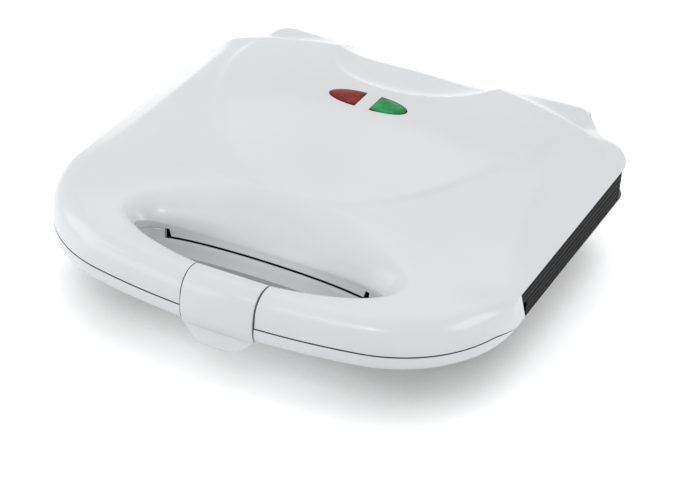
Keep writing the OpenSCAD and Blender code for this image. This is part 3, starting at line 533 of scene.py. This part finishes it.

# Tinted lenses: deep transparent colour, with painted light in the pattern of the ribs moulded under the top and
# painted shade darker towards the rim
for side, key, dark, light in ((-1, "red_plastic", "#5c0402", "#9c0f08"), (1, "green_plastic", "#067a3c", "#14a95c")):
    m, t = material("tinted_lens_" + key.split("_")[0])
    pos = node(t, "ShaderNodeTexCoord")
    # Painted light: the lens colour is brightened in a pattern of the ribs, as light caught in them
    painted_rib_light = node(t, "ShaderNodeTexVoronoi", {"Scale": 1000 / 2.2}, [("Vector", pos, "Object")])
    wash = node(t, "ShaderNodeTexNoise", {"Scale": 1000 / 7, "Detail": 1.0}, [("Vector", pos, "Object")])
    blend = node(t, "ShaderNodeMath", {"operation": "MULTIPLY_ADD", 1: 0.5},
        [(0, painted_rib_light, "Distance"), (2, wash, "Fac")])
    tone = node(t, "ShaderNodeValToRGB", {}, [("Fac", blend, "Value")])
    tone.color_ramp.elements[0].position, tone.color_ramp.elements[0].color = 0.42, rgb(dark)
    tone.color_ramp.elements[1].position, tone.color_ramp.elements[1].color = 0.95, rgb(light)
    middle = node(t, "ShaderNodeMapping",
        {"vector_type": "TEXTURE", "Location": row(side * 9.5, LENS_S, 37.5), "Scale": (0.0103, 0.0073, 1.0)},
        [("Vector", pos, "Object")])
    # Painted shade: the colour darkens from the lens's middle towards its rim
    bowl = node(t, "ShaderNodeTexGradient", {"gradient_type": "SPHERICAL"}, [("Vector", middle, "Vector")])
    rim = node(t, "ShaderNodeMapRange", {"From Max": 0.32, "To Min": 0.2, "To Max": 1.0}, [("Value", bowl, "Fac")])
    painted_shade = node(t, "ShaderNodeVectorMath", {"operation": "SCALE"}, [(0, tone, "Color"), ("Scale", rim, "Result")])
    finish_with(t, node(t, "ShaderNodeBsdfPrincipled", {"IOR": 1.49, "Roughness": 0.1, "Specular IOR Level": 0.14},
        [("Base Color", painted_shade, "Vector")]))
    MATERIALS[key] = m


def dress(obj, key):
    """Gives a piece its material."""
    obj.data.materials.clear()
    obj.data.materials.append(MATERIALS[key])


SLOT_OF = {part["node"]: part["material_slot"] for part in frame["record"]["subparts"]}
for name, obj in NODES.items():
    for place in obj.material_slots:
        place.material = MATERIALS[SLOT_OF[name]]

# ---------------------------------------------------------------- finger opening
angles = np.linspace(0, 2 * pi, 201)[:-1]


def finger_plan(g):
    """The opening's outline, g mm outside its wall."""
    x = (FINGER_A + g) * np.cos(angles)
    return np.stack([x, FINGER_S + FINGER_BOW * x * x + (FINGER_B + g) * np.sin(angles)], axis=1)


def in_opening(q, g):
    """Which of the plan points lie less than g mm outside the opening's wall."""
    x, t = q[:, 0], q[:, 1] - FINGER_S - FINGER_BOW * q[:, 0] ** 2
    return (x / (FINGER_A + g)) ** 2 + (t / (FINGER_B + g)) ** 2 < 1


def band(section):
    """Closed solid round the opening, from (distance outside its wall, height) pairs."""
    verts = [row(x, s, z) for g, z in section for x, s in finger_plan(g)]
    n, k = len(angles), len(section)
    return verts, [f for j in range(k) for f in band_faces(n, j * n, (j + 1) % k * n)]


def inside(p, loop):
    """Whether the point lies in the closed loop, by the edges that it has on its right."""
    a, b = loop, np.roll(loop, -1, axis=0)
    rise = np.where(a[:, 1] == b[:, 1], 1.0, b[:, 1] - a[:, 1])
    reach = a[:, 0] + (b[:, 0] - a[:, 0]) * (p[1] - a[:, 1]) / rise
    return np.sum(((a[:, 1] > p[1]) != (b[:, 1] > p[1])) & (reach > p[0])) % 2 == 1


def web(plan, first, rest, gaps):
    """Triangles inside the loop `first` mm in from the plan's edge, round the opening's rings at gaps."""
    n, k = len(plan), len(angles)
    points = [ring(plan, first)] + [finger_plan(g) for g in gaps]
    depth = [np.full(n, first)] + [np.full(k, 12.0)] * len(gaps)
    for d in rest:
        q = ring(plan, d)[::max(1, int(0.9 / (1 - d / DEPTH)))]
        q = q[~in_opening(q, 1.2 * gaps[-1])]
        points.append(q)
        depth.append(np.full(len(q), d))
    points = np.vstack(points)
    edges = [(i, (i + 1) % n) for i in range(n)] + [(n + i, n + (i + 1) % k) for i in range(k)]
    found = delaunay_2d_cdt([Vector(p) for p in points], edges, [], 0, 1e-7)
    tris = [tuple(found[3][v][0] for v in f) for f in found[2]]
    tris = [f for f in tris if not (min(f) >= n and max(f) < n + k)
            and (max(f) >= n or inside(np.mean(points[list(f)], axis=0), points[:n]))]
    return points, np.concatenate(depth), tris


# ---------------------------------------------------------------- top cover
LID = outline(True)


def lid_hem(s):
    """Height of the lid's lower edge."""
    return np.where(s > 203, 8.0, mix(0.0, STRIP_LOW, ease((s - 45) / 25)))


def lid_solid():
    """The lid's shell: rings round its edge, webs of triangles over and under, and the opening's wall."""
    loops = []
    for d in (9, 5, 2.6):
        q = ring(LID, d)
        z = skin(q[:, 0], q[:, 1], np.full(len(q), d - WALL)) - WALL
        loops.append([row(a, b, c) for (a, b), c in zip(q, z)])
    hem = lid_hem(LID[:, 1])
    for inset, rise in ((2.5, 0.0), (0.35, 0.0), (0.1, 0.1), (0.0, 0.35)):
        q = ring(LID, inset)
        loops.append([row(a, b, h + rise) for (a, b), h in zip(q, hem)])
    for d in (0, 0.25, 0.6, 1.1, 1.8, 2.7, 3.8, 5.2, 6.8, 8.6):
        q = ring(LID, d)
        z = skin(q[:, 0], q[:, 1], np.full(len(q), d))
        loops.append([row(a, b, c) for (a, b), c in zip(q, z)])
    verts, faces = loft(loops, caps=(False, False))
    n, k = len(LID), len(angles)
    rims = []
    for start, first, rest, gaps, under in (
            ((len(loops) - 1) * n, 8.6, np.arange(10.2, 112, 1.3), (0, 0.2, 0.5, 0.9, 1.4, 2.0, 2.7, 3.5, 4.4), 0.0),
            (0, 9.0, np.arange(14, 112, 6), (2.2, 3.4, 5.0), WALL)):
        points, depth, tris = web(LID, first, rest, gaps)
        z = skin(points[:, 0], points[:, 1], depth - under) - under
        shift = len(verts) - n
        verts += [row(a, b, c) for (a, b), c in zip(points[n:], z[n:])]
        faces += [tuple(start + v if v < n else shift + v for v in f) for f in tris]
        rims.append(shift + n)
    foot = len(verts)
    verts += [row(x, s, z) for g, z in ((0, 0.75), (0.3, 0.45), (2.2, 0.45)) for x, s in finger_plan(g)]
    chain = [rims[0], foot, foot + k, foot + 2 * k, rims[1]]
    for a, b in zip(chain, chain[1:]):
        faces += band_faces(k, a, b)
    return verts, faces


lid = new_object("lid_cover", *lid_solid())
outward(lid)
lens_outline = [(LENS_IN + (LENS_LENGTH + 0.4) * cos(a), LENS_S + (LENS_B + 0.3) * sin(a))
                for a in np.linspace(-pi / 2, pi / 2, 49)]
cuts = [prism_x([(67.2, STRIP_TOP), (76.2, STRIP_LOW - 1), (204.5, STRIP_LOW - 1), (204.5, STRIP_TOP)], -120, 120),
        prism_x([(-6, -2), (16.2, -2), (16.2, 24), (-6, 24)], -LATCH_HALF - LATCH_GAP, LATCH_HALF + 1.5 * LATCH_GAP)]
for side in (1, -1):
    cuts.append(prism_z([(side * x, s) for x, s in lens_outline], 30, 42))
    notch = [(side * x, z) for x, z in ((46.8, -1), (70, -1), (70, 4.4), (48.2, 4.4))]
    cuts.append(prism(notch, lambda p, e: row(p[0], (34.0, 54.0)[e], p[1])))
carve(lid, cuts)
cheek = [(HINGE_S - 14, HINGE_Z + 3), (HINGE_S - 14, HINGE_Z + 12), (HINGE_S - 2, HINGE_Z + 16.2),
         (HINGE_S + 6.5, HINGE_Z + 11.4), (HINGE_S + 8, HINGE_Z + 6), (HINGE_S + 8, HINGE_Z + 0.5),
         (HINGE_S - 7.5, HINGE_Z)]
solids = []
for side in (1, -1):
    for x in (BLOCK_IN + 3, BLOCK_OUT - 3):
        a, b = sorted((side * (x - 3), side * (x + 3)))
        solids += [rod_x(a, b, HINGE_S, HINGE_Z, 8), prism_x(cheek, a, b)]
    a, b = sorted((side * (LATCH_HALF + LATCH_GAP), side * (LATCH_HALF + LATCH_GAP + 2)))
    rib = [(2.4, 0.4), (2.0, 5), (3.0, 8.8), (4.8, 11.4), (8, 12.6), (13, 12.4), (14.4, 10.6), (14.4, 0.4)]
    solids.append(prism_x(rib, a, b))
solids.append(prism_x([(4.5, 0.3), (4.5, 3.6), (14.8, 3.6), (14.8, 0.3)], -LATCH_HALF - 2, LATCH_HALF + 2))
join_into(lid, solids, bevel=0.3)
dress(lid, "white_plastic")
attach(lid, "lid")
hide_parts("top_cover")

# ---------------------------------------------------------------- bottom cover
BASE = outline(False)


def box_inset(x, s):
    """Distance inside the outline of the bottom's box."""
    cs, r = (51.5 + BACK_WALL_S) / 2, 30
    qx = abs(x) - (HALF_W - r)
    qs = abs(s - cs) - ((BACK_WALL_S - 51.5) / 2 - r)
    return r - (np.minimum(np.maximum(qx, qs), 0) + np.hypot(np.maximum(qx, 0), np.maximum(qs, 0)))


def belly(x, s, d):
    """Outside height of the bottom, d mm in from the edge."""
    bowl = 29 * (1 - soft_ramp(1 - box_inset(x, s) / 20, 0.14))
    round_under = UNDER_H * np.sqrt(1 - (1 - np.minimum(1, (d + 0.2) / 3)) ** 2)
    under = mix(round_under, np.minimum(UNDER_H, 5 + 1.3 * d), ease((s - 48) / 24))
    return -np.maximum(under, 5 * ease((s - 45) / 7) + bowl)


def base_rim(s):
    """Height of the bottom cover's upper edge."""
    return np.where(s > 203, -0.5, mix(-0.55, STRIP_LOW, ease((s - 45) / 25)))


def base_rings():
    """Rings from the middle of the inside over the rim to the middle of the underside."""
    rim = base_rim(BASE[:, 1])
    inner = []
    for d in [*range(76, 4, -2), 4.3]:
        q = ring(BASE, d)
        level = rim - 0.5
        fall = level - belly(q[:, 0], q[:, 1], np.full(len(q), float(d))) - WALL
        z = level - np.where(abs(fall) < 1.5, (fall + 1.5) ** 2 / 6, np.maximum(fall, 0))
        inner.append([row(a, b, c) for (a, b), c in zip(q, z)])
    lip = []
    for inset, fall in ((2.5, 1.6), (0.6, 0.25), (0.15, 0.06), (0.0, 0.3)):
        q = ring(BASE, inset)
        lip.append([row(a, b, h - fall) for (a, b), h in zip(q, rim)])
    outer = []
    for d in [0.15, 0.4, 0.7, 1.1, 1.6, 2.2, 2.9, 3.8, *range(5, 25, 2), *range(26, 50, 4), *range(50, 71, 3), 72, 76]:
        q = ring(BASE, d)
        z = np.minimum(belly(q[:, 0], q[:, 1], np.full(len(q), d)), rim - min(1.0, 1.3 * d + 0.36))
        outer.append([row(a, b, c) for (a, b), c in zip(q, z)])
    return inner + lip + outer


verts, faces = loft(base_rings())
base = new_object("bottom_cover_shell", verts, faces)
outward(base)
latch_bay = prism_x([(-6, -14), (16.2, -14), (16.2, 2), (-6, 2)], -LATCH_HALF - LATCH_GAP, LATCH_HALF + LATCH_GAP)
cuts = [prism_z(finger_plan(1.2), -40, 3), latch_bay]
for side in (1, -1):
    a, b = sorted((side * (BLOCK_IN - 4.8), side * (BLOCK_OUT + 1.2)))
    cuts.append(rod_x(a, b, HINGE_S, HINGE_Z, 15.6))
carve(base, cuts)
wall = [(0, -0.85), (0.25, -0.6), (0.8, -0.9), (2.2, -2.2), (2.2, 0.4 - UNDER_H), (-2.0, -UNDER_H),
        (-2.3, 0.4 - UNDER_H), (0, -4.0)]
upstand = [(0, -0.85), (0, 3.9), (0.3, 4.2), (2.2, 4.2), (2.2, -2.0), (0.8, -0.9)]
middle = prism_z([(-50.2, 10), (50.2, 10), (50.2, 60), (-50.2, 60)], -10, 10)
front = prism_z([(-90, 0), (90, 0), (90, 35), (-90, 35)], -10, 10)
for section, cuts in ((wall, [latch_bay]), (upstand, [middle, front])):
    skirt = new_object("skirt", *band(section))
    outward(skirt)
    carve(skirt, cuts)
    join_into(base, [([v.co[:] for v in skirt.data.vertices], [tuple(p.vertices) for p in skirt.data.polygons])])
    bpy.data.objects.remove(skirt)
solids = []
for side in (1, -1):
    a, b = sorted((side * (BLOCK_IN + 6.4), side * (BLOCK_OUT - 6.4)))
    ear = [(205, -12), (218, -12), (218, 2), (212, 5), (212, 1.5), (205, -2)]
    solids += [rod_x(a, b, HINGE_S, HINGE_Z, 7.5), prism_x(ear, a, b)]
    for s in (84, 192):
        solids.append(rod_z(FLOOR_Z, FLOOR_Z + 3, side * 68, s, 7.5))
solids.append(rod_y(204, 219, 0, -18.5, 10))
solids.append(prism_x([(3.4, -0.4), (3.4, -7.6), (14.8, -7.6), (14.8, -0.4)], -LATCH_HALF - 2, LATCH_HALF + 2))
join_into(base, solids, bevel=0.25)
well = [(HINGE_S + 15.6 * cos(a), HINGE_Z + 15.6 * sin(a)) for a in np.linspace(radians(198), radians(278), 25)]
well += [(HINGE_S + 17.6 * cos(a), HINGE_Z + 17.6 * sin(a)) for a in np.linspace(radians(278), radians(198), 25)]
for side in (1, -1):
    a, b = sorted((side * (BLOCK_IN - 6.8), side * (BLOCK_OUT + 3.2)))
    join_into(base, [prism_x(well, a, b)])
dress(base, "white_plastic")
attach(base, "base")
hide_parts("bottom_cover")

# ---------------------------------------------------------------- latch clip
def smooth_run(points, per=6):
    """A Catmull-Rom run through the points."""
    p = [np.array(v, float) for v in points]
    p = [2 * p[0] - p[1]] + p + [2 * p[-1] - p[-2]]
    out = []
    for i in range(1, len(p) - 2):
        a, b, c, d = p[i - 1:i + 3]
        for k in range(per):
            t = k / per
            out.append(tuple(0.5 * (2 * b + (c - a) * t + (2 * a - 5 * b + 4 * c - d) * t ** 2
                                    + (3 * b - a - 3 * c + d) * t ** 3)))
    return out + [tuple(p[-2])]


front_run = smooth_run([(14.9, 12.4), (14.0, 13.8), (10, 14.5), (6.5, 14.1), (3.4, 12.3), (1.2, 9.2),
                        (0.1, 5), (-0.25, 1), (0.3, -3.4), (1.6, -7.4), (2.5, -9.8)])
lip_run = smooth_run([(2.5, -10.3), (1.9, -12.4), (0.7, -14.9), (0.5, -16.3), (2.2, -16.9), (5.0, -14.6),
                      (7.5, -11.2), (9.0, -9.1)])
inner_run = smooth_run([(8.2, -8.5), (5.5, -7.8), (2.9, -6.7), (2.5, 0), (2.7, 5), (3.7, 8.3), (5.4, 10.7),
                        (8, 12), (12.6, 11.8)], per=4)
clip = prism_x(front_run + lip_run + inner_run, -LATCH_HALF, LATCH_HALF)
latch = new_object("latch_clip_skin", *clip, smooth=False)
outward(latch)
arc_cut = [(21.75 * sin(a), 4.7 - 21.75 * cos(a)) for a in np.linspace(radians(-64), radians(64), 65)]
arc_cut = [(-30.0, arc_cut[0][1])] + arc_cut + [(30.0, arc_cut[-1][1]), (30.0, -30.0), (-30.0, -30.0)]
carve(latch, [prism(arc_cut, lambda p, e: row(p[0], (-10.0, 30.0)[e], p[1]))])
mod = latch.modifiers.new("round", "BEVEL")
mod.width = 0.55 * MM
mod.segments = 3
mod.limit_method = "ANGLE"
mod.angle_limit = radians(38)
settle(latch, 40)
lug = []
for side in (1, -1):
    a, b = sorted((side * (LATCH_HALF - 3), side * LATCH_HALF))
    lug.append(rod_x(a, b, LATCH_S, LATCH_Z, 2.9))
join_into(latch, lug, bevel=0.2)
dress(latch, "white_plastic")
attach(latch, "latch")
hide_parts("latch_clip")

# ---------------------------------------------------------------- indicator lenses
for side, name, key in ((-1, "red_lens", "red_plastic"), (1, "green_lens", "green_plastic")):
    half = [(cos(a), sin(a)) for a in np.linspace(radians(-84), radians(84), 61)]
    turn = [(0.065 * (1 - sin(a)), 0.86 + 0.135 * cos(a)) for a in np.linspace(radians(9), pi / 2, 8)]
    plan = half + turn + [(0.0, v) for v in np.linspace(0.8, -0.8, 13)] + [(x, -y) for x, y in turn[::-1]]
    rings = []
    for scale, z in ((1.0, 33.6), (1.0, 37.2), (0.985, 37.45), (0.95, 37.62), (0.88, 37.74),
                     (0.72, 37.82), (0.45, 37.87), (0.2, 37.88)):
        start = LENS_IN + 5.5 * (1 - scale)
        rings.append([row(side * (start + LENS_LENGTH * x * scale), LENS_S + LENS_B * y * scale, z) for x, y in plan])
    lens = new_object(name + "_dome", *loft(rings), sharp=50)
    outward(lens)
    lens.data.set_sharp_from_angle(angle=radians(50))
    dress(lens, key)
    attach(lens, "lid")
    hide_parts(name)

# ---------------------------------------------------------------- floor, light and camera
def background_share(tree):
    """1 for the rays that show the background: the camera's own, those in gloss and those through glass."""
    path = node(tree, "ShaderNodeLightPath")
    gloss = node(tree, "ShaderNodeMath", {"operation": "MAXIMUM"},
        [(0, path, "Is Camera Ray"), (1, path, "Is Glossy Ray")])
    return node(tree, "ShaderNodeMath", {"operation": "MAXIMUM"},
        [(0, gloss, "Value"), (1, path, "Is Transmission Ray")])


FLOOR_HALF = 3.0
corners = [(x * FLOOR_HALF, y * FLOOR_HALF, 0) for x, y in ((-1, -1), (1, -1), (1, 1), (-1, 1))]
floor = new_object("floor", corners, [(0, 1, 2, 3)], smooth=False)
# Matt white studio floor: pale to the eye, with a soft painted shadow where the toaster is near it
m, t = material("pale_floor")
share = background_share(t)
paint = node(t, "ShaderNodeBsdfDiffuse", {"Color": (0.88, 0.88, 0.88, 1.0)})
# Painted shadow: the floor's colour and glow darken where the toaster is close over it
floor_shadow_mask = node(t, "ShaderNodeAmbientOcclusion", {"samples": 16, "Distance": 0.08})
painted_floor_shadow = node(t, "ShaderNodeMapRange", {"From Min": 0.25, "From Max": 0.72, "To Min": 0.44, "To Max": 1.0},
    [("Value", floor_shadow_mask, "AO")])
seen = node(t, "ShaderNodeEmission", {"Strength": 0.46}, [("Color", painted_floor_shadow, "Result")])
white = node(t, "ShaderNodeBsdfDiffuse", {}, [("Color", painted_floor_shadow, "Result")])
both = node(t, "ShaderNodeAddShader", {}, [(0, white, 0), (1, seen, 0)])
finish_with(t, node(t, "ShaderNodeMixShader", {}, [(0, share, "Value"), (1, paint, 0), (2, both, 0)]))
floor.data.materials.append(m)

# The room: an even cool white that lights the toaster, and a white background
world = bpy.data.worlds.new("studio")
bpy.context.scene.world = world
world.use_nodes = True
t = world.node_tree
t.nodes.clear()
share = background_share(t)
room = node(t, "ShaderNodeBackground", {"Color": (0.97, 0.98, 1.0, 1.0), "Strength": 0.53})
white = node(t, "ShaderNodeBackground", {"Color": (1.0, 1.0, 1.0, 1.0), "Strength": 1.0})
pick = node(t, "ShaderNodeMixShader", {}, [(0, share, "Value"), (1, room, 0), (2, white, 0)])
node(t, "ShaderNodeOutputWorld", {}, [("Surface", pick, 0)])


def area(name, place, size_x, size_y, power, aim=(0, 0, 0.04)):
    """A soft rectangular lamp, sizes in metres, that faces the aim."""
    light = bpy.data.lights.new(name, "AREA")
    light.shape = "RECTANGLE"
    light.size, light.size_y, light.energy = size_x, size_y, power
    lamp = bpy.data.objects.new(name, light)
    bpy.context.scene.collection.objects.link(lamp)
    lamp.location = place
    lamp.rotation_euler = (Vector(place) - Vector(aim)).to_track_quat("Z", "Y").to_euler()


area("right_wall", (1.3, 0.1, 0.8), 0.9, 0.8, 5.0)
area("left_wall", (-1.3, -0.3, 0.8), 1.0, 0.9, 3.8)
area("low_left_screen", (-0.9, -1.0, 0.4), 1.0, 0.7, 2.6)
area("front_ceiling", (0.1, -1.05, 1.1), 0.9, 0.5, 1.8)
area("back_ceiling", (-0.1, 0.8, 1.3), 1.6, 1.0, 2.3)
area("small_window", (0.18, -0.95, 1.15), 0.1, 0.1, 0.6)

AZIMUTH, ELEVATION, ROLL = radians(24.138), radians(31.793), radians(3.9815)
TARGET, DISTANCE, FOCAL = Vector(row(19.62, 78.67, 0)), 1.02185, 2300.86 * 36 / 680
back = Vector((sin(AZIMUTH) * cos(ELEVATION), -cos(AZIMUTH) * cos(ELEVATION), sin(ELEVATION)))
right = Vector((cos(AZIMUTH), sin(AZIMUTH), 0))
up = back.cross(right)
right_r = cos(ROLL) * right + sin(ROLL) * up
up_r = -sin(ROLL) * right + cos(ROLL) * up
camera = bpy.data.objects.new("camera", bpy.data.cameras.new("camera"))
camera.data.lens = FOCAL
camera.data.sensor_width = 36
camera.data.sensor_fit = "HORIZONTAL"
camera.data.clip_start = 0.05
bpy.context.scene.collection.objects.link(camera)
turned = Matrix((right_r, up_r, back)).transposed().to_4x4()
camera.matrix_world = Matrix.Translation(TARGET + back * DISTANCE) @ turned
bpy.context.scene.camera = camera
bpy.context.scene.view_settings.view_transform = "Standard"
